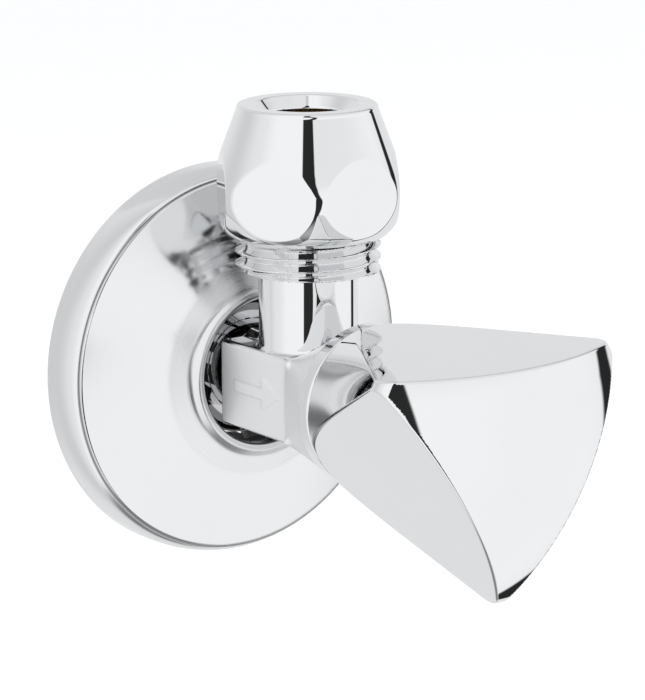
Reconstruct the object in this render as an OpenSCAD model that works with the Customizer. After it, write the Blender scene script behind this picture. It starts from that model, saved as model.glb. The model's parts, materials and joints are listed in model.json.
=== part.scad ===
// Angle stop valve: wall-mounted, inlet tail through a round rosette,
// compression outlet on top, three-cornered handle on a screw-down headwork.
// Origin: on the inlet axis, in the plane of the wall.
// -Y points away from the wall along the valve axis, +Z is up along the outlet.
// "s" is the distance from the wall along -Y. Names in _s, "start" and "end" are
// such distances too; "rear" means toward the wall and "front" away from it.

/* [Wall rosette] */
// Outside diameter of the rosette where it meets the wall
rosette_d = 58.2; // [56:0.2:60]
// Height of the rosette's skirt from the wall to the step line
skirt_h = 6.8; // [6:0.1:7.4]
// Distance from the wall to the crest of the rolled rim
rosette_h = 14.2; // [13.6:0.1:14.4]
// Diameter of the rosette's centre hole
rosette_hole_d = 21.6; // [21.4:0.1:21.8]
// Sheet thickness of the rosette
rosette_t = 0.9; // [0.7:0.1:1.1]

/* [Valve body] */
// Outside diameter of the inlet tail (G 1/2 pipe thread)
tail_d = 20.955; // [20.8:0.005:21]
// Length of the tail behind the plane of the wall
tail_behind_wall = 12; // [10:0.5:16]
// Width across the two wrench flats
flats_w = 16; // [15:0.5:17]
// Distance from the wall to the outlet's centre line
outlet_s = 24.5; // [24:0.1:25]
// Diameter of the outlet neck
neck_d = 14.2; // [13.6:0.1:14.6]
// Diameter of the round collar behind the handle
collar_d = 23; // [22.4:0.1:23.2]

/* [Outlet] */
// Outside diameter of the outlet thread (G 1/2 pipe thread)
outlet_thread_d = 20.955; // [20.8:0.005:21]
// Pitch of the outlet thread
thread_pitch = 1.814; // [1.6:0.002:2]
// Diameter of the socket for the riser tube
socket_d = 12.2; // [12.1:0.05:12.3]
// Width across the nut's six facets
nut_af = 24.8; // [24.2:0.1:25.2]
// Height of the nut's top face above the inlet axis
nut_top = 41; // [40.5:0.1:42]

/* [Handle] */
// Distance from the wall to the front of the handle
handle_front = 77.3; // [76.5:0.1:79]
// Distance from the handle's axis to each of its three flats
handle_flat = 11.83; // [11.7:0.01:12]
// Radius of the handle's domed front
handle_dome_r = 36.1; // [35:0.1:42]

/* [Headwork] */
// Width across the headwork's hexagon
hex_af = 17; // [16:0.5:17]
// Diameter of the seat opening
seat_d = 6.4; // [6:0.1:6.6]

/* [Hidden] */
$fn = 96;

// Values shared by pieces that fit together
fit_gap = 0.08;       // radial gap between moving or screwed parts
tail_r = tail_d / 2;
seal_start = 5.5;     // front end of the tail's thread, where the seal groove starts
seal_end = seal_start + 2.4;
seal_floor_r = 9;
socket_r = socket_d / 2;
thread_r = outlet_thread_d / 2;
seat_s = 20.2;        // face of the seat lip
head_thread_r = 8;    // thread between body and headwork, in the body
guide_r = 4.3;        // plunger's two-flat guide
guide_half_w = 3.4;
lift_screw_r = 2.5;   // lifting screw at the rear of the spindle
drum_r = 5.12;        // sealing drum of the spindle
drum_front = 51.4;
stem_r = 3.6;         // plain stem in front of the drum
clip_start = 52.2;
plunger_rear = 22.65;
plunger_ring_s = 32.75;
spindle_ring_s = [46.8, 49.4];
washer_hole_r = 1.65;
spline_start = 55;
spline_teeth = 20;
spline_tip_r = 3.9;
spline_root_r = 3.5;
snap_ring_s = 59;     // snap ring between handle and insert
snap_groove_w = 1.3;

// ---- Shared shapes ----

// Local z becomes -Y (away from the wall), local y becomes +Z.
module on_axis() { rotate([90, 0, 0]) children(); }

// Solid of revolution about the valve axis; points are [radius, s].
module turned(points) { on_axis() rotate_extrude() polygon(points); }

// Solid of revolution about the outlet axis; points are [radius, z].
module upright(points) { translate([0, -outlet_s, 0]) rotate_extrude() polygon(points); }

// Cylinder on the valve axis.
module rod(radius, start, end) {
    on_axis() translate([0, 0, start]) cylinder(r = radius, h = end - start);
}

// Cylinder on the outlet axis.
module upright_rod(radius, bottom, top) {
    translate([0, -outlet_s, bottom]) cylinder(r = radius, h = top - bottom);
}

// Round ring about the valve axis.
module o_ring(radius, s, wire_r) {
    on_axis() translate([0, 0, s]) rotate_extrude()
        translate([radius, 0]) circle(r = wire_r, $fn = 48);
}

// Flat ring about the valve axis; also cuts grooves.
module flat_ring(outer_r, inner_r, start, end) {
    on_axis() translate([0, 0, start]) difference() {
        cylinder(r = outer_r, h = end - start);
        translate([0, 0, -1]) cylinder(r = inner_r, h = end - start + 2);
    }
}

// Groove or ring of a given width, centred on s.
module centred_ring(outer_r, inner_r, s, width) {
    flat_ring(outer_r, inner_r, s - width / 2, s + width / 2);
}

// Box in valve axis coordinates; corner and size are [x, z, s].
module box(corner, size) { on_axis() translate(corner) cube(size); }

// Round bar with two guide flats.
module two_flats(radius, half_width, start, end) {
    on_axis() translate([0, 0, start]) intersection() {
        cylinder(r = radius, h = end - start);
        translate([-half_width, -radius - 1, 0])
            cube([2 * half_width, 2 * radius + 2, end - start]);
    }
}

// Spline of the spindle, or with a gap the socket it fits.
module spline(length, gap = 0) {
    on_axis() translate([0, 0, spline_start]) linear_extrude(length)
        polygon([for (i = [0 : 2 * spline_teeth - 1])
            let (angle = i * 180 / spline_teeth,
                 radius = (i % 2 == 0 ? spline_tip_r : spline_root_r) + gap)
            [radius * cos(angle), radius * sin(angle)]]);
}

// Rectangle with rounded corners, from [x0, y0] to [x1, y1].
module rounded_rect(x0, y0, x1, y1, radius) {
    union() {
        translate([x0 + radius, y0]) square([x1 - x0 - 2 * radius, y1 - y0]);
        translate([x0, y0 + radius]) square([x1 - x0, y1 - y0 - 2 * radius]);
        for (x = [x0 + radius, x1 - radius], y = [y0 + radius, y1 - radius])
            translate([x, y]) circle(r = radius, $fn = 48);
    }
}

// ---- Valve body ----

shoulder_r = tail_r - 0.55;
shoulder_end = 9;     // front end of the shoulder in front of the seal groove
shank_r = 7;          // round shank between tail and block
half_w = flats_w / 2;
block_start = 13.6;   // rear end of the flat-sided block
block_end = 34.5;     // the block ends inside the flare
block_bottom = -6.7;
block_top = 5.8;
flare_start = 27.6;
flare_end = 38.4;
flare_r0 = 5.6;
collar_r = collar_d / 2;
collar_front = 40.6;
collar_seat = 39.5;   // face the headwork screws down to
neck_r = neck_d / 2;
thread_turns = 7;
thread_root_r = thread_r - 1.16;
thread_bottom = 17.3; // underside of the lowest thread crest
outlet_top = 31;
chamber_r = 4.9;

// Flare from the block to the collar: radius at distance s.
function flare_r(s) = flare_r0
    + (collar_r - flare_r0) * pow((s - flare_start) / (flare_end - flare_start), 1.35);

// Outlet thread drawn as rings, bottom to top: [radius, z].
// Each turn is root, crest, crest, root at these fractions of the pitch.
ring_fractions = [0.06, 0.34, 0.60, 0.88];
thread_rings = [for (i = [0 : thread_turns - 1], k = [0 : 3])
    [k == 0 || k == 3 ? thread_root_r : thread_r,
     thread_bottom + thread_pitch * (i + ring_fractions[k])]];

module inlet_tail() {
    turned([[0, -tail_behind_wall], [tail_r - 1, -tail_behind_wall],
            [tail_r, -tail_behind_wall + 1], [tail_r, seal_start], [shoulder_r, seal_start],
            [shoulder_r, shoulder_end - 0.6], [shoulder_r - 0.6, shoulder_end],
            [shank_r, shoulder_end], [shank_r, block_start + 0.6], [0, block_start + 0.6]]);
}

// Block with the wrench flats.
module block() {
    on_axis() translate([0, 0, block_start]) linear_extrude(block_end - block_start)
        rounded_rect(-half_w, block_bottom, half_w, block_top, radius = 1.2);
}

module flare_and_collar() {
    edge = 0.5;
    turned(concat([[0, flare_start]],
        [for (s = [flare_start : 0.9 : flare_end]) [flare_r(s), s]],
        [[collar_r, collar_front - edge], [collar_r - edge, collar_front],
         [0, collar_front]]));
}

module outlet_neck() {
    edge = 0.3;
    upright(concat([[0, 0], [neck_r, 0], [neck_r, thread_bottom - 1.6],
            [neck_r + 0.5, thread_bottom - 0.7], [thread_root_r, thread_bottom]],
        thread_rings,
        [[thread_root_r, outlet_top - edge], [thread_root_r - edge, outlet_top],
         [0, outlet_top]]));
}

// Dots at the front end of each flat, near its top and bottom edges.
module flat_dots() {
    for (x = [-half_w, half_w], z = [block_bottom + 0.8, block_top - 0.5])
        on_axis() translate([x, z, 31.2]) sphere(r = 0.55, $fn = 32);
}

// Raised straight arrow on the -X flat, pointing away from the wall; points are [s, z].
module flow_arrow() {
    sunk = 0.1;
    on_axis() translate([-half_w + sunk, 0, 0]) rotate([0, -90, 0]) linear_extrude(0.35)
        polygon([[17.6, -1.0], [24.4, -1.0], [24.4, -2.5], [28.6, -0.3],
                 [24.4, 1.9], [24.4, 0.4], [17.6, 0.4]]);
}

module valve_body() {
    lip_t = 0.75;
    cone_depth = 2.5;
    cone_r = socket_r + 1.9;
    color("gainsboro") difference() {
        union() {
            inlet_tail();
            block();
            flare_and_collar();
            outlet_neck();
            flat_dots();
            flow_arrow();
        }
        // inlet passage
        turned([[0, -tail_behind_wall - 1], [5.5, -tail_behind_wall - 1], [5.5, 11],
                [4.4, 12.2], [4.4, 18.2], [0, 18.2]]);
        // seat opening
        rod(seat_d / 2, start = 17, end = 22);
        // annular recess that leaves the seat lip standing
        flat_ring(chamber_r, seat_d / 2 + lip_t, start = 19.4, end = seat_s + 0.01);
        // valve chamber, pilot bore, headwork thread, o-ring recess and hexagon recess
        rod(chamber_r, seat_s, seat_s + 12);
        rod(radius = 6, start = 31, end = 36);
        rod(head_thread_r, start = 35, end = 41);
        rod(radius = 9.1, start = 38.4, end = 41.4);
        rod(radius = 10.2, start = collar_seat, end = collar_seat + 3);
        // outlet passage, tube socket and cone seat
        upright_rod(radius = 3.4, bottom = 0, top = 25);
        upright_rod(socket_r, bottom = 19, top = 34);
        upright([[0, outlet_top - cone_depth], [socket_r, outlet_top - cone_depth],
                 [cone_r, outlet_top], [cone_r, outlet_top + 1], [0, outlet_top + 1]]);
        // groove for the tail's sealing ring
        flat_ring(tail_r + 1, seal_floor_r, seal_start, seal_end);
    }
}

module tail_seal_ring() {
    gap = 0.05;
    color("white")
        flat_ring(tail_r - 0.25, seal_floor_r + gap, seal_start + gap, seal_end - gap);
}

// ---- Wall rosette ----

rosette_r = rosette_d / 2;
hole_r = rosette_hole_d / 2;
rim_wire_r = 0.72;
rim_r = hole_r + rim_wire_r;
face_outer_r = rosette_r - 1.5;
face_inner_r = rim_r + 1.0;
face_steps = 14;

// Distance from the wall to the domed face at a radius between the step and the rim.
function face_s(radius) =
    let (inward = (face_outer_r - radius) / (face_outer_r - face_inner_r))
    skirt_h + 0.1 + (rosette_h - 1.25 - skirt_h) * (1.08 * inward - 0.08 * inward * inward);

// Points of the face from outer_r inward, set back from the front surface by depth.
function face_points(outer_r, depth) = [for (i = [0 : face_steps])
    let (radius = outer_r + (face_inner_r - outer_r) * i / face_steps)
    [radius, face_s(radius) - depth]];

module wall_rosette() {
    skirt_start = 1.6;    // the skirt starts to curve in here
    lip_front = rosette_h - 1.3;
    lip_rear = rosette_h - 2.6;
    lip_r = face_inner_r - 0.5;
    inside_r = rosette_r - rosette_t - 0.1;
    skirt = concat([[rosette_r - 0.25, 0], [rosette_r, 0.5], [rosette_r, skirt_start]],
        [for (i = [1 : 5]) [rosette_r - (1 - cos(i * 18)),
                            skirt_start + (skirt_h - skirt_start) * sin(i * 18)]],
        [[rosette_r - 1.25, skirt_h + 0.12]]);
    lip = [[lip_r, lip_front], [hole_r, lip_front], [hole_r, lip_rear], [lip_r, lip_rear]];
    face_back = face_points(face_outer_r - 0.3, rosette_t);
    color("lightgray") difference() {
        union() {
            turned(concat(skirt, face_points(face_outer_r, 0), lip,
                [for (i = [face_steps : -1 : 0]) face_back[i]],
                [[inside_r - 1.3, skirt_h - 0.6], [inside_r, skirt_start], [inside_r, 0]]));
            // rolled rim around the hole
            o_ring(rim_r, rosette_h - rim_wire_r, rim_wire_r);
        }
        rod(hole_r, start = -1, end = rosette_h + 4);
    }
}

// Sleeve that grips the tail, with a flange under the rosette's face.
module rosette_grip_ring() {
    grip_r = tail_r + 0.07;
    color("dimgray") difference() {
        turned([[grip_r, 6.2], [12.1, 6.2], [12.1, 10.3], [14.4, 10.3], [14.4, 11.1],
                [11.2, 11.1], [11.2, 8.6], [grip_r, 8.2]]);
        // six notches in the rear end
        for (angle = [0 : 60 : 300]) on_axis() rotate([0, 0, angle + 30])
            translate([9, -0.5, 6]) cube([5, 1, 2.6]);
    }
}

// ---- Compression outlet ----

// Solid of revolution in the nut; points are [radius, depth below the top face].
module nut_turned(points) {
    upright([for (point = points) [point[0], nut_top - point[1]]]);
}

module compression_nut() {
    tube_r = socket_r + 0.05;
    color("gainsboro") difference() {
        intersection() {
            nut_turned([[0, 18.9], [10.9, 18.9], [11.6, 18.4], [12.4, 17.6], [12.95, 16.6],
                [13.55, 15.1], [13.85, 13.8], [13.95, 12.6], [13.85, 11.3], [13.55, 10.0],
                [13.1, 8.65], [10.1, 0.63], [9.6, 0], [0, 0]]);
            // six facets, turned by two degrees
            translate([0, -outlet_s, nut_top - 20]) rotate([0, 0, 2])
                cylinder(d = nut_af / cos(30), h = 21, $fn = 6);
        }
        // clearance for the outlet thread
        upright_rod(thread_r + 0.12, nut_top - 20, nut_top - 9.4);
        // inner cone that squeezes the clamp ring
        nut_turned([[0, 9.5], [8.2, 9.5], [8.2, 7.4], [tube_r, 4.8], [0, 4.8]]);
        upright_rod(tube_r, nut_top - 10, nut_top + 2);
        // lead-in chamfer at the top
        nut_turned([[0, 1.6], [tube_r, 1.6], [7.5, 0], [7.5, -1], [0, -1]]);
    }
}

module clamp_ring() {
    color("goldenrod") difference() {
        upright([[0, 29.4], [6.55, 29.4], [7.75, 31.2], [7.75, 33.4], [6.6, 35.2], [0, 35.2]]);
        upright_rod(socket_r, bottom = 25, top = 40);
    }
}

// ---- Headwork ----

housing_start = 31.2; // rear end of the housing

// Hexagon with its front corners bevelled off.
module housing_hexagon() {
    length = 5.4;
    bevel = 1;
    round_r = hex_af / 2 + 1;
    on_axis() translate([0, 0, 39.6]) intersection() {
        cylinder(d = hex_af / cos(30), h = length, $fn = 6);
        union() {
            cylinder(r = round_r, h = length - bevel);
            translate([0, 0, length - bevel])
                cylinder(r1 = round_r, r2 = hex_af / 2, h = bevel);
        }
    }
}

module headwork_housing() {
    color("goldenrod") difference() {
        union() {
            // pilot, thread, hexagon and front sleeve
            rod(radius = 5.9, start = housing_start, end = housing_start + 5);
            rod(head_thread_r - fit_gap, start = 35.2, end = 40.2);
            housing_hexagon();
            rod(radius = 6.5, start = 44, end = 54);
        }
        // guide bore, two-flat guide, drum bore, clip groove
        rod(radius = 4.8, start = housing_start - 1, end = housing_start + 7);
        two_flats(guide_r + fit_gap, guide_half_w + fit_gap, start = 38, end = 45);
        rod(drum_r + fit_gap, start = 44.3, end = 55.3);
        rod(radius = 5.75, start = clip_start - 0.05, end = clip_start + 0.95);
    }
}

module housing_o_ring() { color("black") o_ring(radius = 8.5, s = 39.02, wire_r = 0.5); }

module spindle() {
    drum_rear = 44.45;
    spline_length = 8.8;
    spline_end = spline_start + spline_length;
    color("darkgoldenrod") difference() {
        union() {
            // lifting screw, drum and stem
            turned([[0, 31.5], [lift_screw_r - 0.5, 31.5], [lift_screw_r, 32],
                    [lift_screw_r, drum_rear], [drum_r, drum_rear], [drum_r, drum_front],
                    [stem_r, drum_front], [stem_r, 55.2], [0, 55.2]]);
            spline(spline_length);
            // bevelled front end
            turned([[0, spline_end], [3.3, spline_end], [2.7, 64.4], [0, 64.4]]);
        }
        // two grooves for the sealing rings
        for (s = spindle_ring_s)
            centred_ring(drum_r + 1, inner_r = 4.05, s = s, width = 1.5);
    }
}

module spindle_o_rings() {
    color("black") for (s = spindle_ring_s) o_ring(radius = 4.6, s = s, wire_r = 0.5);
}

module slide_washer() {
    color("white") flat_ring(drum_r, stem_r + fit_gap, drum_front + 0.1, drum_front + 0.7);
}

// Flat clip with its gap at the top.
module retaining_clip() {
    color("slategray") difference() {
        flat_ring(outer_r = 5.65, inner_r = 4.2, start = clip_start, end = clip_start + 0.85);
        box(corner = [-1.4, 2, 51], size = [2.8, 6, 4]);
    }
}

module valve_plunger() {
    rear_r = 4.3;
    front_r = 4.72;
    color("darkgoldenrod") difference() {
        union() {
            turned([[0, plunger_rear], [rear_r, plunger_rear], [rear_r, 30.2],
                    [front_r, 30.6], [front_r, 34], [0, 34]]);
            two_flats(guide_r, guide_half_w, start = 33.5, end = 40);
        }
        // thread for the spindle's lifting screw
        rod(lift_screw_r + fit_gap, start = 27, end = 41);
        // hole for the washer screw
        rod(radius = 1.6, start = 22, end = 25.2);
        // groove for the sealing ring
        centred_ring(outer_r = 6, inner_r = 3.85, s = plunger_ring_s, width = 1.3);
    }
}

module plunger_o_ring() {
    color("black") o_ring(radius = 4.29, s = plunger_ring_s, wire_r = 0.42);
}

module seat_washer() {
    color("black") flat_ring(outer_r = 4.25, inner_r = washer_hole_r,
                             start = seat_s + 0.05, end = plunger_rear - 0.05);
}

module washer_plate() {
    color("goldenrod") flat_ring(outer_r = 2.9, inner_r = washer_hole_r,
                                 start = 19.62, end = seat_s + 0.03);
}

module washer_screw() {
    color("goldenrod") difference() {
        union() {
            // head, then shank
            turned([[0, 18.5], [1.9, 18.5], [2.2, 18.8], [2.2, 19.6], [0, 19.6]]);
            turned([[0, 19.5], [1.5, 19.5], [1.5, 24.4], [1.1, 24.8], [0, 24.8]]);
        }
        // screwdriver slot
        box(corner = [-3, -0.25, 18.3], size = [6, 0.5, 0.65]);
    }
}

// ---- Handle ----

handle_rear = 41.1;
handle_rear_r = handle_flat + 0.03;
handle_slope = 0.312; // widening per mm at the rear rim
handle_curve = 0.0034;
handle_twist = 0.9;   // degrees the handle stands turned
corner_r = 2.8;       // rounding between the corners and the domed front
dome_s = handle_front - handle_dome_r;   // centre of the domed front

// Flared surface of the handle's corners: radius and slope at distance s.
function flank_r(s) = let (along = s - handle_rear)
    handle_rear_r + handle_slope * along + handle_curve * along * along;
function flank_slope(s) = handle_slope + 2 * handle_curve * (s - handle_rear);

// Corner rounding: centre [radius, s] of the circle that touches the flank at s.
function corner_at(s) = let (slope = flank_slope(s), slant = sqrt(1 + slope * slope))
    [flank_r(s) - corner_r / slant, s + corner_r * slope / slant];

// Distance s at which that circle touches the domed front too, by halving.
function corner_s(low, high, steps) =
    let (middle = (low + high) / 2, centre = corner_at(middle))
    steps == 0 ? middle
    : norm([centre[0], centre[1] - dome_s]) < handle_dome_r - corner_r
        ? corner_s(middle, high, steps - 1)
        : corner_s(low, middle, steps - 1);

// Flared body of revolution with a rounded corner. The rounding stops 6 degrees
// short of the dome and runs on as a straight tangent to the axis.
module handle_flare() {
    touch_s = corner_s(55, 80, 40);
    centre = corner_at(touch_s);
    angle0 = atan2(-flank_slope(touch_s), 1);
    angle1 = atan2(centre[1] - dome_s, centre[0]) - 6;
    flank_start = handle_rear + 0.5;
    flank = [for (i = [0 : 9]) let (s = flank_start + i * (touch_s - flank_start) / 10)
        [flank_r(s), s]];
    rounding = [for (i = [0 : 8]) let (angle = angle0 + (angle1 - angle0) * i / 8)
        [centre[0] + corner_r * cos(angle), centre[1] + corner_r * sin(angle)]];
    turned(concat([[0, handle_rear], [handle_rear_r - 0.4, handle_rear]], flank, rounding,
        [[0, rounding[8][1] + rounding[8][0] / tan(angle1)]]));
}

module handle() {
    color("gainsboro") difference() {
        intersection() {
            handle_flare();
            // domed front
            on_axis() translate([0, 0, dome_s]) sphere(r = handle_dome_r, $fn = 144);
            // three flats
            on_axis() translate([0, 0, handle_rear - 1]) linear_extrude(45)
                polygon([for (angle = [30, 150, 270]) 2 * handle_flat
                    * [cos(angle + handle_twist), sin(angle + handle_twist)]]);
        }
        // hollow back, socket for the insert and groove for its snap ring
        rod(radius = 10.5, start = handle_rear - 1, end = handle_rear + 15);
        rod(radius = 7, start = 55, end = 66);
        rod(7.42, snap_ring_s - snap_groove_w / 2, snap_ring_s + snap_groove_w / 2);
    }
}

module handle_insert() {
    color("whitesmoke") difference() {
        rod(radius = 6.92, start = 55.5, end = 65.5);
        spline(9.8, fit_gap);
        centred_ring(outer_r = 8, inner_r = 6.3, s = snap_ring_s, width = snap_groove_w);
        // crossed slots at the rear that let the insert spring
        for (angle = [0, 90])
            on_axis() rotate([0, 0, angle]) translate([-8, -0.4, 55]) cube([16, 0.8, 2.4]);
    }
}

// Round wire ring with its gap at the bottom.
module handle_snap_ring() {
    color("slategray") difference() {
        o_ring(radius = 6.86, s = snap_ring_s, wire_r = 0.5);
        box(corner = [-1.5, -9, 57], size = [3, 9, 4]);
    }
}

valve_body();
tail_seal_ring();
wall_rosette();
rosette_grip_ring();
compression_nut();
clamp_ring();
headwork_housing();
housing_o_ring();
spindle();
spindle_o_rings();
slide_washer();
retaining_clip();
valve_plunger();
plunger_o_ring();
seat_washer();
washer_plate();
washer_screw();
handle();
handle_insert();
handle_snap_ring();
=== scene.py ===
"""An angle valve with its handle, wall rosette and compression nut.

The wall is the plane y = 0 and the valve stands out from it along -y. The threaded inlet
runs along the y axis through the wall, the outlet points up (+z), and the handle is at
the far end from the wall. Shapes are worked out in millimetres, with "out" (= -y) the
distance from the wall, and are written in metres.
"""
import bpy, json, math
import numpy as np
from mathutils import Vector, Matrix


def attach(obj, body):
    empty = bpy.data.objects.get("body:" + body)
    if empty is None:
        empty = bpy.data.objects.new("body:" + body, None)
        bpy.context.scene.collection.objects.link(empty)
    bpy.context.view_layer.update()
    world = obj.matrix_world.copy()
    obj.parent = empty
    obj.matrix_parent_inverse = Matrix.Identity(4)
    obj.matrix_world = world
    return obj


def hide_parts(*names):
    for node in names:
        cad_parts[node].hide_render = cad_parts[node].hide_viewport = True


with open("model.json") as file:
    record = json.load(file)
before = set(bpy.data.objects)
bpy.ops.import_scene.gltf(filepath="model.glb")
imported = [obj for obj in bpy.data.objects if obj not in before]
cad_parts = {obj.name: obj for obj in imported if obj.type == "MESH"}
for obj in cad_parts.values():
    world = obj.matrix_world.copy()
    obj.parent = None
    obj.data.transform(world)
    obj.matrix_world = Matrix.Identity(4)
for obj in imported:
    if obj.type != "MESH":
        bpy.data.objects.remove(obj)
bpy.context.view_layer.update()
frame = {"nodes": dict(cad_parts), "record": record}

OUTLET_OUT = 24.5           # distance of the outlet axis from the wall
THREAD_RADIUS = 10.4775     # crest radius of both threads
THREAD_PITCH = 1.814
THREAD_HALF_DEPTH = 0.56


# ---------------------------------------------------------------- distance fields
# Distances are negative inside a shape.
def soft_union(first, second, width):
    overlap = np.maximum(width - np.abs(first - second), 0) / width
    return np.minimum(first, second) - overlap * overlap * width * 0.25


def fillet_union(first, second, radius):
    """Union with a round fillet in the inner corner."""
    near_first = np.maximum(radius - first, 0)
    near_second = np.maximum(radius - second, 0)
    return np.maximum(radius, np.minimum(first, second)) - np.hypot(near_first, near_second)


def round_intersection(first, second, radius):
    """Intersection with a round outer edge."""
    past_first = np.maximum(first + radius, 0)
    past_second = np.maximum(second + radius, 0)
    return np.minimum(-radius, np.maximum(first, second)) + np.hypot(past_first, past_second)


def round_corner(first, second, cosine, radius):
    """Intersection of surfaces at a fixed angle (cosine between their normals), rounded."""
    u, v = first + radius, second + radius
    squared = np.maximum(u * u + v * v - 2 * cosine * u * v, 0) / (1 - cosine * cosine)
    in_corner = (u > cosine * v) & (v > cosine * u)
    return np.where(in_corner, np.sqrt(squared) - radius, np.maximum(first, second))


def polygon_distance(x, y, outline):
    """Signed distance to a closed polygon."""
    corners = np.asarray(outline, float)
    nearest = np.full(x.shape, 1e9)
    inside = np.zeros(x.shape, bool)
    for (x0, y0), (x1, y1) in zip(corners, np.roll(corners, -1, axis=0)):
        edge_x, edge_y = x1 - x0, y1 - y0
        from_x, from_y = x - x0, y - y0
        length_squared = edge_x * edge_x + edge_y * edge_y
        along = np.clip((from_x * edge_x + from_y * edge_y) / length_squared, 0, 1)
        gap_x, gap_y = from_x - along * edge_x, from_y - along * edge_y
        nearest = np.minimum(nearest, gap_x * gap_x + gap_y * gap_y)
        if y0 != y1:
            inside ^= ((y >= min(y0, y1)) & (y < max(y0, y1))
                       & (x < x0 + (y - y0) * edge_x / edge_y))
    return np.where(inside, -1, 1) * np.sqrt(nearest)


def thread_wave(turns):
    """Rounded V thread: 1 at whole numbers of turns, -1 half way between."""
    sharpness = 0.975
    return np.arcsin(sharpness * np.cos(2 * np.pi * turns)) / math.asin(sharpness)


# ---------------------------------------------------------------- field to mesh
BLOCK = 6           # the grid is sampled in blocks of this many points a side
BATCH = 3000        # blocks evaluated at a time, to limit memory
CUBE = [(i, j, k) for k in (0, 1) for j in (0, 1) for i in (0, 1)]


def sample_field(field, low, high, cell):
    """Field on a grid, exact near the surface and +1 or -1 elsewhere."""
    counts = [math.ceil((high[i] - low[i]) / cell / BLOCK) for i in range(3)]
    axes = [low[i] + cell * np.arange(counts[i] * BLOCK) for i in range(3)]
    centres = [low[i] + cell * (np.arange(counts[i]) * BLOCK + (BLOCK - 1) / 2)
               for i in range(3)]
    coarse = field(*np.meshgrid(*centres, indexing="ij"))
    values = np.where(coarse < 0, -1.0, 1.0).astype(np.float32)
    for axis in range(3):
        values = np.repeat(values, BLOCK, axis)
    # half a block's diagonal, with a margin for fields steeper than one
    reach = 0.5 * BLOCK * cell * math.sqrt(3) * 1.9 + cell
    near = np.argwhere(np.abs(coarse) < reach)
    offsets = np.arange(BLOCK)
    for start in range(0, len(near), BATCH):
        grid = near[start:start + BATCH, :, None] * BLOCK + offsets
        i, j, k = np.broadcast_arrays(grid[:, 0, :, None, None], grid[:, 1, None, :, None],
                                      grid[:, 2, None, None, :])
        values[i, j, k] = field(axes[0][i], axes[1][j], axes[2][k]).astype(np.float32)
    return values


def gradient(field, points, step=0.01):
    slopes = np.empty_like(points)
    for axis in range(3):
        shift = np.zeros(3)
        shift[axis] = step
        slopes[:, axis] = (field(*(points + shift).T) - field(*(points - shift).T)) / (2 * step)
    return slopes


def project(field, points, cell, times):
    """Moves points onto the surface by Newton steps of limited length."""
    for _ in range(times):
        values = field(*points.T)
        slopes = gradient(field, points)
        move = -values[:, None] * slopes / np.maximum((slopes * slopes).sum(1), 1e-3)[:, None]
        length = np.linalg.norm(move, axis=1)
        move *= np.minimum(1, 0.6 * cell / np.maximum(length, 1e-9))[:, None]
        points = points + move
    return points


def edge_crossings(values, cells):
    """For each cell, the mean of the places where the surface crosses its edges."""
    edges = [(a, b) for a in range(8) for b in range(a + 1, 8)
             if sum(abs(CUBE[a][i] - CUBE[b][i]) for i in range(3)) == 1]
    at_corner = [values[cells[:, 0] + i, cells[:, 1] + j, cells[:, 2] + k] for i, j, k in CUBE]
    total = np.zeros((len(cells), 3))
    count = np.zeros(len(cells))
    for a, b in edges:
        start, end = at_corner[a], at_corner[b]
        crossed = (start < 0) != (end < 0)
        part = np.where(crossed, start / np.where(crossed, start - end, 1), 0)
        for i in range(3):
            place = CUBE[a][i] + part * (CUBE[b][i] - CUBE[a][i])
            total[:, i] += np.where(crossed, place, 0)
        count += crossed
    return total / count[:, None]


def surface_quads(inside, cell_index):
    """One quad round every grid edge that crosses the surface, facing outward."""
    quads = []
    for axis in range(3):
        side, other = (axis + 1) % 3, (axis + 2) % 3
        starts, ends = [slice(1, -1)] * 3, [slice(1, -1)] * 3
        starts[axis], ends[axis] = slice(0, -1), slice(1, None)
        start, end = inside[tuple(starts)], inside[tuple(ends)]
        for crossed, order in ((start & ~end, (0, 1, 2, 3)), (~start & end, (3, 2, 1, 0))):
            edge = np.argwhere(crossed)
            ring = []
            for side_step, other_step in ((0, 0), (1, 0), (1, 1), (0, 1)):
                cell = edge.copy()
                cell[:, side] += side_step
                cell[:, other] += other_step
                ring.append(cell_index[cell[:, 0], cell[:, 1], cell[:, 2]])
            quads.append(np.stack([ring[i] for i in order], 1))
    return np.concatenate(quads)


def mesh_field(name, field, low, high, cell):
    """Surface net of a field, evened out, with the field's own normals."""
    values = sample_field(field, low, high, cell)
    inside = values < 0
    size = [n - 1 for n in values.shape]
    count = np.zeros(size, np.uint8)
    for i, j, k in CUBE:
        count += inside[i:size[0] + i, j:size[1] + j, k:size[2] + k]
    active = (count > 0) & (count < 8)
    cells = np.argwhere(active)
    cell_index = np.full(active.shape, -1, np.int64)
    cell_index[active] = np.arange(len(cells))
    points = (cells + edge_crossings(values, cells)) * cell + np.array(low)
    quads = surface_quads(inside, cell_index)

    points = project(field, points, cell, times=3)
    start, end = np.concatenate([quads[:, [i, (i + 1) % 4]] for i in range(4)]).T
    total = len(points)
    neighbours = np.bincount(start, minlength=total) + np.bincount(end, minlength=total)
    for _ in range(2):
        sums = np.stack([np.bincount(start, points[end, i], total)
                         + np.bincount(end, points[start, i], total) for i in range(3)], 1)
        points = points + 0.5 * (sums / neighbours[:, None] - points)
        points = project(field, points, cell, times=2)
    slopes = gradient(field, points)
    normals = slopes / np.maximum(np.linalg.norm(slopes, axis=1), 1e-9)[:, None]
    return new_mesh(name, points, quads, normals)


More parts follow.
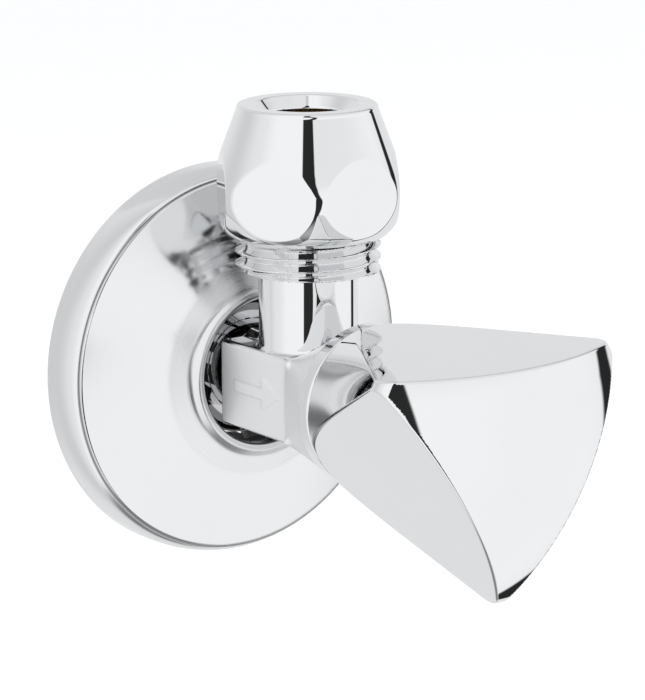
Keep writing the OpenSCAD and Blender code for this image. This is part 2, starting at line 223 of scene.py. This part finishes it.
def new_mesh(name, points, quads, normals=None):
    """Smooth-shaded quad mesh from points in millimetres."""
    mesh = bpy.data.meshes.new(name)
    mesh.vertices.add(len(points))
    mesh.vertices.foreach_set("co", (points * 0.001).astype(np.float32).ravel())
    mesh.loops.add(quads.size)
    mesh.loops.foreach_set("vertex_index", quads.astype(np.int32).ravel())
    mesh.polygons.add(len(quads))
    mesh.polygons.foreach_set("loop_start", np.arange(0, quads.size, 4, dtype=np.int32))
    mesh.update(calc_edges=True)
    mesh.validate(clean_customdata=False)
    mesh.polygons.foreach_set("use_smooth", np.ones(len(mesh.polygons), bool))
    if normals is not None:
        mesh.normals_split_custom_set_from_vertices(normals.tolist())
    mesh.update()
    piece = bpy.data.objects.new(name, mesh)
    bpy.context.scene.collection.objects.link(piece)
    return piece


# ---------------------------------------------------------------- turned pieces
def lathe(name, profile, centre, axis, segments, shape_radius=None):
    """Turns a closed profile of (radius, height) about an axis through centre.

    Axis "z" is up and axis "out" is away from the wall. shape_radius(radius, angle)
    may change a radius.
    """
    profile = np.asarray(profile, float)
    rows = len(profile)
    angles = 2 * np.pi * np.arange(segments) / segments
    radius = np.repeat(profile[:, 0][:, None], segments, 1)
    height = np.repeat(profile[:, 1][:, None], segments, 1)
    angle = np.repeat(angles[None, :], rows, 0)
    if shape_radius is not None:
        radius = shape_radius(radius, angle)
    first, second = radius * np.cos(angle), radius * np.sin(angle)
    x, y, z = centre
    if axis == "z":
        points = np.stack([x + first, y + second, z + height], -1)
    else:
        points = np.stack([x + first, y - height, z + second], -1)
    i = np.arange(rows)[:, None]
    j = np.arange(segments)[None, :]
    next_i, next_j = (i + 1) % rows, (j + 1) % segments
    quads = np.stack([i * segments + j, i * segments + next_j,
                      next_i * segments + next_j, next_i * segments + j], -1).reshape(-1, 4)
    # a clockwise profile would turn the faces inward
    area = sum(p[0] * q[1] - q[0] * p[1] for p, q in zip(profile, np.roll(profile, -1, axis=0)))
    if area < 0:
        quads = quads[:, ::-1]
    return new_mesh(name, points.reshape(-1, 3), quads)


def arc(centre_radius, centre_height, radius, start, end, steps):
    """Arc in a profile, angles in degrees."""
    angles = [math.radians(start + (end - start) * i / steps) for i in range(steps + 1)]
    return [(centre_radius + radius * math.cos(angle), centre_height + radius * math.sin(angle))
            for angle in angles]


def smooth_line(points, steps):
    """Centripetal Catmull-Rom curve through the points, with this many steps a span."""
    points = [np.array(p, float) for p in points]
    points = [2 * points[0] - points[1]] + points + [2 * points[-1] - points[-2]]
    curve = []
    for i in range(1, len(points) - 2):
        span = points[i - 1:i + 3]
        knots = [0]
        for p, q in zip(span, span[1:]):
            knots.append(knots[-1] + np.linalg.norm(q - p) ** 0.5)
        for k in range(steps):
            t = knots[1] + (knots[2] - knots[1]) * k / steps
            level = span
            for gap in ((1, 1, 1), (2, 2), (1,)):
                first = 1 if len(gap) == 1 else 0
                level = [(knots[j + first + g] - t) / (knots[j + first + g] - knots[j + first])
                         * level[j]
                         + (t - knots[j + first]) / (knots[j + first + g] - knots[j + first])
                         * level[j + 1] for j, g in enumerate(gap)]
            curve.append(tuple(level[0]))
    curve.append(tuple(points[-2]))
    return curve


def dense(outline, step):
    """The same closed outline with its long sides split, so that shading stays even."""
    result = []
    for p, q in zip(outline, outline[1:] + outline[:1]):
        parts = max(1, int(math.dist(p, q) / step))
        result += [(p[0] + (q[0] - p[0]) * j / parts, p[1] + (q[1] - p[1]) * j / parts)
                   for j in range(parts)]
    return result


# ---------------------------------------------------------------- valve body
# Hollow along the inlet axis: (radius, out)
BORE = [
    (-1, -14), (5.9, -14), (5.9, -12.2), (5.5, -11.6), (5.5, 11), (4.4, 12.2), (4.4, 18.2),
    (3.2, 18.7), (3.2, 20.2), (3.95, 20.2), (3.95, 19.4), (4.9, 19.4), (4.9, 31), (6, 31),
    (6, 35), (8, 35), (8, 38.4), (9.1, 38.4), (9.1, 39.5), (10.2, 39.5), (10.35, 41),
    (10.35, 42), (-1, 42)]
# Hollow along the outlet axis: (radius, z)
SOCKET = [(-1, 0), (3.4, 0), (3.4, 19), (6.1, 19), (6.1, 28.5), (8.0, 31), (8.0, 33), (-1, 33)]
# Inlet tail before its thread is cut: (radius, out)
TAIL_OUTER = THREAD_RADIUS + 0.02
TAIL = [
    (-1, -12), (9.2, -12), (TAIL_OUTER, -10.9), (TAIL_OUTER, 5.5), (9.0, 5.5), (9.0, 7.9),
    (9.93, 7.9), (9.93, 8.4), (9.33, 9), (-1, 9)]
# Raised arrow on the -x flat, pointing away from the wall: (out, z)
ARROW = [(17.6, -1.0), (24.4, -1.0), (24.4, -2.5), (28.6, -0.3), (24.4, 1.9), (24.4, 0.4),
         (17.6, 0.4)]
DOTS = [(31.0, -5.9), (31.4, 5.3)]      # raised dots on both x flats: (out, z)
OUTLET_TOP = 31


def block_distance(x, z, out, radius):
    """Flat-sided block that turns smoothly into the round collar at its outer end."""
    edge = 0.8
    half_width, half_height, drop, collar = 8, 6.25, 0.45, 11.5
    over_x = np.abs(x) - (half_width - edge)
    over_z = np.abs(z + drop) - (half_height - edge)
    rectangle = (np.hypot(np.maximum(over_x, 0), np.maximum(over_z, 0))
                 + np.minimum(np.maximum(over_x, over_z), 0) - edge)
    along = (out - 30.0) / 8.4
    blend = np.minimum(0.5 * (along + np.sqrt(along * along + 0.004)), 1)
    # the divisor keeps the blended field's slope in check
    distance = (rectangle * (1 - blend) + (radius - collar) * blend) / 1.12
    return round_intersection(round_intersection(distance, 13.6 - out, 0.6), out - 40.6, 0.45)


def add_raised_marks(distance, x, z, out):
    arrow = round_intersection(polygon_distance(out, z, ARROW) - 0.12, -x - 8.25, 0.12)
    distance = soft_union(distance, np.maximum(arrow, x + 6), 0.25)
    from_flat = np.abs(x) - 8.15
    for dot_out, dot_z in DOTS:
        dot = np.sqrt(from_flat * from_flat + (out - dot_out) ** 2 + (z - dot_z) ** 2) - 0.6
        distance = soft_union(distance, dot, 0.3)
    return distance


def outlet_thread_distance(x, z, from_axis, radius):
    """Right-hand thread round the top of the outlet, with a chamfered end."""
    turn = np.arctan2(-from_axis, x) / (2 * np.pi)
    wave = thread_wave((z - 17.347) / THREAD_PITCH - turn)
    crest = THREAD_RADIUS - THREAD_HALF_DEPTH + THREAD_HALF_DEPTH * wave
    distance = round_intersection((radius - crest) * 0.62, 17.0 - z, 0.22)
    chamfer = (radius + z - OUTLET_TOP - 9.5) * 0.7071
    return np.maximum(round_intersection(distance, chamfer, 0.15), z - OUTLET_TOP)


def inlet_tail_distance(x, z, out, radius):
    """Right-hand threaded tail; the thread fades out near its outer end."""
    turns = out / THREAD_PITCH + np.arctan2(x, z) / (2 * np.pi)
    fade = np.clip((5.2 - out) / 1.2, 0, 1)
    crest = THREAD_RADIUS - THREAD_HALF_DEPTH * (1 - thread_wave(-turns)) * fade
    return np.maximum(polygon_distance(radius, out, TAIL), (radius - crest) * 0.62)


def body_distance(x, y, z):
    out = -y
    radius = np.hypot(x, z)
    from_outlet = out - OUTLET_OUT
    outlet_radius = np.hypot(x, from_outlet)
    distance = block_distance(x, z, out, radius)
    distance = add_raised_marks(distance, x, z, out)
    shank = np.maximum(np.maximum(radius - 7, out - 17), 8.5 - out)
    distance = fillet_union(distance, shank, 0.4)
    neck = np.maximum(np.maximum(outlet_radius - 7.1, -z), z - 18)
    distance = fillet_union(distance, neck, 0.5)
    outlet_thread = outlet_thread_distance(x, z, from_outlet, outlet_radius)
    distance = fillet_union(distance, outlet_thread, 0.55)
    distance = np.minimum(distance, inlet_tail_distance(x, z, out, radius))
    distance = np.maximum(distance, -polygon_distance(radius, out, BORE))
    return np.maximum(distance, -polygon_distance(outlet_radius, z, SOCKET))


# ---------------------------------------------------------------- handle
HANDLE_BACK = 41.1                      # its face toward the wall
HANDLE_FLAT = 11.83                     # distance of the side flats from the axis
FLAT_ANGLES = (90.9, 210.9, 330.9)      # degrees from +x toward +z


def handle_distance(x, y, z):
    out = -y
    radius = np.hypot(x, z)
    along = out - HANDLE_BACK
    flare = ((radius - (11.86 + 0.312 * along + 0.0034 * along * along))
             / np.sqrt(1 + (0.312 + 0.0068 * along) ** 2))
    dome = np.sqrt(radius * radius + (out - 41.2) ** 2) - 36.1
    flats = np.full(x.shape, -1e9)
    for degrees in FLAT_ANGLES:
        angle = math.radians(degrees)
        flats = np.maximum(flats, x * math.cos(angle) + z * math.sin(angle) - HANDLE_FLAT)
    distance = round_corner(flare, dome, cosine=0.17, radius=2.8)
    distance = round_intersection(distance, flats, 0.3)
    distance = round_intersection(distance, HANDLE_BACK - out, 0.35)
    # hollow on the wall side with a widened mouth, then a narrower socket with a groove
    past_mouth = HANDLE_BACK - 3 - out
    hollow = np.maximum(round_intersection(radius - 10.5, out - 55, 0.8), past_mouth)
    mouth = np.maximum(radius - 10.9 + (out - HANDLE_BACK) * 0.8, past_mouth)
    hollow = fillet_union(hollow, mouth, 0.2)
    socket = np.maximum(np.maximum(radius - 7, out - 66), 50 - out)
    groove = np.maximum(np.maximum(radius - 7.42, out - 59.65), 58.35 - out)
    return np.maximum(np.maximum(distance, -hollow), -np.minimum(socket, groove))


# ---------------------------------------------------------------- rosette
FACE_OUTER, FACE_INNER = 27.6, 13.2     # radii of the sloping face


def build_rosette():
    """One closed shell: up the outside, over the rim of the hole, and back inside."""
    face = []
    for i in range(61):
        radius = FACE_OUTER + (FACE_INNER - FACE_OUTER) * i / 60
        inward = (FACE_OUTER - radius) / (FACE_OUTER - 12.52)
        face.append((radius, 6.9 + 6.15 * (1.08 * inward - 0.08 * inward * inward)))
    skirt = [(28.86, 0)] + arc(28.84, 0.25, 0.25, -90, 0, 5)[1:] + [(29.09, 0.6), (29.09, 1.4)]
    for k in range(24):
        angle = math.radians(k * 3.3)
        skirt.append((FACE_OUTER + 1.49 * math.cos(angle), 2.2 + 4.62 * math.sin(angle)))
    groove = [(27.93, 6.66), (27.86, 6.60), (27.78, 6.58), (27.70, 6.66)]
    to_rim = smooth_line([face[-1], (12.85, 12.98), (12.5, 13.27), (12.25, 13.64)], 6)[1:]
    rim = arc(11.52, 13.48, 0.72, 20, 180, 28)
    hole = [(10.8, 12.9), (10.8, 11.7)] + arc(11.0, 11.8, 0.2, 200, 270, 4)
    under = [(radius, height - 0.9) for radius, height in reversed(face[:-2])]
    inside = smooth_line([(27.3, 5.7), (27.75, 5.3), (28.0, 4.2), (28.1, 2.6), (28.1, 0.4),
                          (28.2, 0)], 5)
    profile = skirt + groove + face + to_rim + rim + hole + under + inside
    return lathe("wall_rosette_shell", dense(profile, 0.5), (0, 0, 0), "out", 320)


# ---------------------------------------------------------------- compression nut
NUT_TOP = 41.0
# Outside from the bottom up: (radius, distance below the top)
NUT_OUTSIDE = [
    (11.1, 18.85), (11.8, 18.3), (12.4, 17.6), (12.95, 16.6), (13.5, 15.2), (13.82, 13.9),
    (13.93, 12.6), (13.85, 11.3), (13.55, 10.0), (13.1, 8.65), (12.6, 7.3), (12.0, 5.7),
    (11.25, 3.7), (10.5, 1.7), (10.1, 0.63)]
# Stepped bore from the top down, in the same columns
NUT_BORE = [
    (7.65, 0), (7.5, 0.08), (6.22, 1.55), (6.15, 1.75), (6.15, 4.75), (6.25, 4.95), (8.2, 7.4),
    (8.2, 9.4), (10.55, 9.4), (10.6, 9.5), (10.6, 18.6), (10.75, 18.88)]


def cut_facets(radius, angle):
    """Six flats 12.4 from the axis, on the part wider than 12."""
    from_middle = (angle - math.radians(32) + math.pi / 6) % (math.pi / 3) - math.pi / 6
    flat = 12.4 / np.cos(from_middle)
    return np.where(radius > 12.0, soft_union(radius, flat, 0.16), radius)


def build_nut():
    outside, bore = [[(radius, NUT_TOP - below) for radius, below in table]
                     for table in (NUT_OUTSIDE, NUT_BORE)]
    bottom = arc(10.95, NUT_TOP - 18.6, 0.28, -90, -30, 6)[:-1]
    top = arc(9.6, NUT_TOP - 0.5, 0.5, 10, 90, 10)
    profile = bottom + smooth_line(outside, 9) + top + bore
    return lathe("compression_nut_chrome", dense(profile, 0.13), (0, -OUTLET_OUT, 0), "z", 720,
                 cut_facets)


# ---------------------------------------------------------------- build
def register(piece, node, group):
    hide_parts(node)
    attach(piece, group)


body = mesh_field("valve_body_chrome", body_distance,
                  low=(-12.1, -41.4, -12.1), high=(12.1, 12.8, 32), cell=0.22)
register(body, "valve_body", "valve")
handle = mesh_field("handle_chrome", handle_distance,
                    low=(-20.4, -78.1, -23), high=(20.4, -40.3, 13.4), cell=0.24)
register(handle, "handle", "control")
rosette = build_rosette()
register(rosette, "wall_rosette", "rosette")
nut = build_nut()
register(nut, "compression_nut", "nut")


# ---------------------------------------------------------------- shader graphs
class Value:
    """A node's output that can be used in sums; each operation adds a Math node."""
    def __init__(self, graph, socket):
        self.graph = graph
        self.socket = socket

    def __add__(self, other):
        return self.graph.math("ADD", self, other)

    def __sub__(self, other):
        return self.graph.math("SUBTRACT", self, other)

    def __rsub__(self, other):
        return self.graph.math("SUBTRACT", other, self)

    def __mul__(self, other):
        return self.graph.math("MULTIPLY", self, other)


class Graph:
    def __init__(self, tree):
        self.tree = tree

    def plug(self, value, socket):
        if isinstance(value, Value):
            self.tree.links.new(value.socket, socket)
        else:
            socket.default_value = value

    def node(self, kind, inputs, output=0, **settings):
        node = self.tree.nodes.new(kind)
        for key, value in settings.items():
            setattr(node, key, value)
        for key, value in inputs.items():
            self.plug(value, node.inputs[key])
        return Value(self, node.outputs[output])

    def math(self, operation, *values):
        return self.node("ShaderNodeMath", dict(enumerate(values)), operation=operation)

    def coordinates(self, kind):
        """The x, y and z of a texture coordinate."""
        vector = self.node("ShaderNodeTexCoord", {}, kind)
        split = self.node("ShaderNodeSeparateXYZ", {0: vector})
        return [Value(self, socket) for socket in split.socket.node.outputs]

    def noise(self, scale, detail, roughness, vector=None):
        vector = vector or self.node("ShaderNodeTexCoord", {}, "Object")
        return self.node("ShaderNodeTexNoise", {"Scale": scale, "Detail": detail,
                                                "Roughness": roughness, "Vector": vector}, "Fac")

    def remap(self, value, source, target, interpolation="LINEAR"):
        return self.node("ShaderNodeMapRange", dict(enumerate((value, *source, *target))),
                         interpolation_type=interpolation)

    def window(self, value, low, high, soft):
        """1 where value lies between low and high, 0 outside, with soft ends."""
        return (self.remap(value, (low - soft, low), (0, 1))
                * self.remap(value, (high, high + soft), (1, 0)))

    def mix_colour(self, factor, first, second):
        first, second = [c if isinstance(c, Value) else (*c, 1) for c in (first, second)]
        return self.node("ShaderNodeMixRGB", {0: factor, 1: first, 2: second})

    def shaded(self, factor, colour, shade):
        """Colour that goes to itself times shade, channel by channel."""
        return self.mix_colour(factor, colour, [c * s for c, s in zip(colour, shade)])


class Material(Graph):
    def __init__(self, name, metallic=0.0):
        self.data = bpy.data.materials.new(name)
        self.data.use_nodes = True
        super().__init__(self.data.node_tree)
        self.surface = self.tree.nodes["Principled BSDF"].inputs
        self.surface["Metallic"].default_value = metallic

    def finish(self, colour, roughness, relief, distance, strength):
        """Connects the colour and roughness, and the relief as a bump."""
        self.plug(colour, self.surface["Base Color"])
        self.plug(roughness, self.surface["Roughness"])
        normal = self.node("ShaderNodeBump", {"Distance": distance, "Strength": strength,
                                              "Height": relief}, "Normal")
        self.plug(normal, self.surface["Normal"])
        return self.data


# ---------------------------------------------------------------- materials
def body_finish(mat, colour, roughness):
    """Blasted side flats, painted shade on the shank inside the rosette's hole, and a painted
    shadow ring on the tail's shoulder.
    """
    x, y, z = mat.coordinates("Object")
    out = y * -1000
    from_middle = mat.math("ABSOLUTE", x) * 1000
    block_flats = (mat.window(from_middle, low=7.9, high=8.6, soft=0.08)
                   * mat.window(out, low=13, high=30.6, soft=0.3))
    collar_flats = (mat.window(from_middle, low=8.6, high=13, soft=1.6)
                    * mat.window(out, low=30.3, high=38.2, soft=0.3))
    flats = mat.math("MAXIMUM", block_flats, collar_flats)
    mat.plug(mat.remap(flats, source=(0, 1), target=(1, 0.45)), mat.surface["Metallic"])
    grain = mat.noise(scale=1500, detail=3, roughness=0.6)
    blasted = mat.remap(grain, source=(0.3, 0.7), target=(0.36, 0.46))
    roughness = mat.node("ShaderNodeMix", {0: flats, 2: roughness, 3: blasted})
    # painted shade: the shank and the end of the tail sit inside the rosette's hole and are
    # coloured a darker grey for the shade there
    shank = mat.window(out, low=5.4, high=13.3, soft=0.2)
    colour = mat.mix_colour(shank, colour, (0.52, 0.52, 0.53))
    radius = mat.math("SQRT", x * x + z * z) * 1000
    # painted shadow: a near-black ring on the tail's shoulder, in the gap behind the rosette's
    # rim
    painted_gap_shadow = (mat.window(out, low=5.4, high=9.3, soft=0.2)
           * mat.window(radius, low=8.3, high=12, soft=0.2))
    return mat.mix_colour(painted_gap_shadow, colour, (0.16, 0.16, 0.162)), roughness


def chrome(name, is_body=False):
    mat = Material(name, metallic=1)
    smudge = mat.noise(scale=90, detail=4, roughness=0.6)
    roughness = mat.remap(smudge, source=(0.3, 0.7), target=(0.015, 0.04))
    colour = mat.shaded(smudge, (0.80, 0.805, 0.81), shade=(0.97, 0.97, 0.97))
    if is_body:
        colour, roughness = body_finish(mat, colour, roughness)
    relief = mat.noise(scale=260, detail=2, roughness=0.4)
    return mat.finish(colour, roughness, relief, distance=0.000002, strength=0.4)


def satin_chrome(name):
    """Fine rings about the axis, with painted shade in the groove and inside the hole, and a
    painted dark reflection on the rolled rim.
    """
    mat = Material(name, metallic=1)
    x, y, z = mat.coordinates("Object")
    metres = mat.math("SQRT", x * x + z * z)
    # tight across the rings and loose along them
    stretched = mat.node("ShaderNodeCombineXYZ", {0: metres * 9000, 1: x * 60, 2: z * 60})
    rings = mat.noise(scale=1.0, detail=2, roughness=0.5, vector=stretched)
    cloud = mat.noise(scale=70, detail=3, roughness=0.5)
    mottle = rings * 0.5 + cloud * 0.5
    radius = metres * 1000
    # painted shade: the groove between the face and the skirt is coloured darker
    groove = (mat.window(radius, low=27.74, high=27.9, soft=0.16)
              * mat.window(y * -1000, low=6.2, high=8, soft=0.2))
    # painted dark reflection: the crest of the rolled rim is coloured darker for the dark recess
    # it reflects
    rim = mat.window(radius, low=11.4, high=11.6, soft=0.3) * 0.3
    # painted shade: the inner wall of the hole is coloured darker
    hole = mat.window(radius, low=9, high=11.0, soft=0.12)
    # the rolled hole edge is duller than the face
    roughness = (mat.remap(mottle, source=(0.3, 0.7), target=(0.10, 0.15))
                 + mat.window(radius, low=11.3, high=15.5, soft=0.8) * 0.16)
    # the painted shade and painted reflection of groove, rim and hole, together
    light = (1 - groove * 0.62) * (1 - rim) * (1 - hole * 0.45)
    colour = mat.mix_colour(light, (0.02, 0.02, 0.02), (0.775, 0.78, 0.785))
    return mat.finish(colour, roughness, rings, distance=0.000003, strength=0.35)


def brass(name):
    mat = Material(name, metallic=1)
    mottle = mat.noise(scale=300, detail=4, roughness=0.6)
    factor = mat.remap(mottle, source=(0.35, 0.65), target=(0, 1))
    colour = mat.shaded(factor, (0.72, 0.50, 0.20), shade=(0.8, 0.78, 0.72))
    roughness = mat.remap(mottle, source=(0.3, 0.7), target=(0.2, 0.34))
    relief = mat.noise(scale=1500, detail=2, roughness=0.5)
    return mat.finish(colour, roughness, relief, distance=0.00001, strength=0.3)


def plain(name, colour, roughness, metallic=0.0, variation=0.12):
    mat = Material(name, metallic)
    mottle = mat.noise(scale=800, detail=4, roughness=0.6)
    factor = mat.remap(mottle, source=(0.35, 0.65), target=(0, 1))
    varied = mat.shaded(factor, colour, shade=(1 - variation,) * 3)
    rough = mat.remap(mottle, source=(0.3, 0.7), target=(roughness * 0.85, roughness * 1.1))
    return mat.finish(varied, rough, mottle, distance=0.00002, strength=0.25)


MATERIALS = {
    "chrome": chrome("polished_chrome"),
    # the body's material also holds painted shade and a painted shadow inside the rosette's hole
    "body_chrome": chrome("polished_chrome_with_blasted_flats_and_painted_shade", is_body=True),
    # the rosette's material holds painted shade and a painted dark reflection round its hole
    "satin_chrome": satin_chrome("satin_chrome_rings_with_painted_shade"),
    "brass": brass("machined_brass"),
    "rubber": plain("black_rubber", (0.02, 0.02, 0.021), roughness=0.6),
    "ptfe": plain("white_sealing_plastic", (0.86, 0.86, 0.84), roughness=0.5, variation=0.05),
    "white_plastic": plain("moulded_white_plastic", (0.8, 0.8, 0.78), roughness=0.42,
                           variation=0.05),
    "grey_plastic": plain("moulded_dark_plastic", (0.11, 0.11, 0.113), roughness=0.5),
    "spring_steel": plain("spring_steel", (0.55, 0.56, 0.58), roughness=0.25, metallic=1.0),
}

for piece, key in ((body, "body_chrome"), (handle, "chrome"), (nut, "chrome"),
                   (rosette, "satin_chrome")):
    piece.data.materials.clear()
    piece.data.materials.append(MATERIALS[key])

# the CAD pieces that still show
slot_of = {part["node"]: part["material_slot"] for part in frame["record"]["subparts"]}
for node, piece in frame["nodes"].items():
    if piece.hide_render:
        continue
    if len(piece.material_slots):
        for slot in piece.material_slots:
            slot.material = MATERIALS[slot_of[node]]
    else:
        piece.data.materials.append(MATERIALS[slot_of[node]])


# ---------------------------------------------------------------- floor
def add_floor():
    bpy.ops.mesh.primitive_plane_add(size=8, location=(0, 0, -0.16))
    floor = bpy.context.object
    floor.name = "floor"
    mat = Material("pale_floor")
    for key, value in {"Base Color": (0.94, 0.94, 0.94, 1), "Roughness": 0.9,
                       "Specular IOR Level": 0.1, "Emission Color": (1, 1, 1, 1),
                       "Emission Strength": 0.14}.items():
        mat.plug(value, mat.surface[key])
    floor.data.materials.append(mat.data)
    floor.visible_glossy = False


# ---------------------------------------------------------------- world
# Brightness of the white surround: (azimuth in degrees, level)
SURROUND = [
    (-180, 0.90), (-145, 0.77), (-110, 0.98), (-82, 1.12), (-40, 1.13), (0, 1.12), (38, 1.10),
    (68, 1.10), (112, 0.92), (145, 0.865), (180, 0.90)]
SURROUND_SCALE = 1.25       # keeps the colour ramp's own values below one


def surround_level(sky, azimuth):
    position = sky.remap(azimuth, source=(-180, 180), target=(0, 1))
    level = sky.node("ShaderNodeValToRGB", {0: position})
    ramp = level.socket.node.color_ramp
    ramp.interpolation = "EASE"
    stops = ramp.elements
    for degrees, _ in SURROUND[1:-1]:
        stops.new((degrees + 180) / 360)
    for stop, (_, value) in zip(stops, SURROUND):
        grey = value / SURROUND_SCALE
        stop.color = (grey, grey, grey, 1)
    return level * SURROUND_SCALE


def add_world():
    """White surround with two dark cards and a dark area below.

    Azimuth is 0 straight out from the wall (-y) and grows toward +x.
    """
    world = bpy.data.worlds.new("studio")
    bpy.context.scene.world = world
    world.use_nodes = True
    sky = Graph(world.node_tree)
    x, y, z = sky.coordinates("Generated")
    azimuth = sky.math("ARCTAN2", x, y * -1) * (180 / math.pi)
    elevation = sky.math("ARCSINE", z) * (180 / math.pi)

    def above(value, limit, soft):
        """0 below the limit, 1 above it, in degrees."""
        return sky.remap(value - limit, (-soft, soft), (0, 1), "SMOOTHSTEP")

    def card(left, right, soft, bottom, top):
        """Nearly 0 between two azimuths and two elevations, 1 elsewhere."""
        across = above(azimuth, left, soft) * (1 - above(azimuth, right, soft))
        upright = above(elevation, bottom, soft=2) * (1 - above(elevation, top, soft=3))
        return 1 - across * upright * 0.975

    level = surround_level(sky, azimuth)
    # a little dimmer high up and toward +x
    high = above(azimuth, limit=-30, soft=4) * above(elevation, limit=22, soft=10)
    level = level * (1 - high * 0.13)

    # tapered card beside the camera: slanting edges, each held at a furthest azimuth
    left_upper = sky.math("MAXIMUM", -17 - elevation * 1.15, -42)
    left_lower = sky.math("MAXIMUM", elevation - 33.1, -52)
    is_upper = above(elevation, limit=7.5, soft=0.5)
    left = left_upper * is_upper + left_lower * (1 - is_upper)
    right_upper = sky.math("MAXIMUM", -16.8 - elevation * 0.28, -28)
    right_lower = sky.math("MAXIMUM", elevation * 0.25 - 15.7, -24)
    right = sky.math("MINIMUM", right_upper, right_lower)
    # low down the card pales to this least level
    least = sky.remap(above(elevation, limit=-42, soft=14), source=(0, 1), target=(0.42, 0))
    camera_card = card(left, right, soft=0.8, bottom=-90, top=72)
    level = level * sky.math("MAXIMUM", camera_card, least)

    # tall leaning card on the +x side
    left = sky.remap(elevation, source=(0, 30), target=(84, 100))
    right = sky.remap(elevation, source=(0, 30), target=(96, 106))
    level = level * card(left, right, soft=1.5, bottom=-62, top=78)

    # dark area straight below
    below = above(elevation, limit=-66, soft=9)
    level = level * sky.remap(below, source=(0, 1), target=(0.30, 1))
    background = sky.tree.nodes["Background"].inputs
    sky.plug(level, background["Strength"])
    background["Color"].default_value = (0.98, 0.99, 1.0, 1)


# ---------------------------------------------------------------- light and camera
def add_light():
    light = bpy.data.lights.new("front_top", "AREA")
    light.shape = "RECTANGLE"
    light.size, light.size_y = 0.9, 0.6
    light.energy = 6
    lamp = bpy.data.objects.new("front_top", light)
    bpy.context.scene.collection.objects.link(lamp)
    lamp.location = (0.1, -0.75, 0.75)
    aim = Vector((0, -0.45, -0.1)) - Vector((0.1, -0.75, 0.75))
    lamp.rotation_mode = "QUATERNION"
    lamp.rotation_quaternion = aim.to_track_quat("-Z", "Y")
    lamp.visible_glossy = False


def add_camera():
    azimuth, elevation, roll = [math.radians(angle) for angle in (-35.22, 12.89, -0.25)]
    distance = 0.600
    back = Vector((math.sin(azimuth) * math.cos(elevation),
                   -math.cos(azimuth) * math.cos(elevation), math.sin(elevation)))
    right = Vector((math.cos(azimuth), math.sin(azimuth), 0))
    up = back.cross(right)
    rolled_right = right * math.cos(roll) + up * math.sin(roll)
    rolled_up = up * math.cos(roll) - right * math.sin(roll)
    target = Vector((0, -0.030, 0)) + right * -0.00115 + up * 0.005933
    lens = bpy.data.cameras.new("camera")
    camera = bpy.data.objects.new("camera", lens)
    bpy.context.scene.collection.objects.link(camera)
    camera.location = target + back * distance
    camera.rotation_mode = "QUATERNION"
    axes = Matrix((rolled_right, rolled_up, back)).transposed()
    camera.rotation_quaternion = axes.to_quaternion()
    lens.lens = 215.861143
    lens.sensor_width = 36
    lens.clip_start, lens.clip_end = 0.01, 20
    bpy.context.scene.camera = camera


add_floor()
add_world()
add_light()
add_camera()
bpy.context.scene.view_settings.view_transform = "Standard"
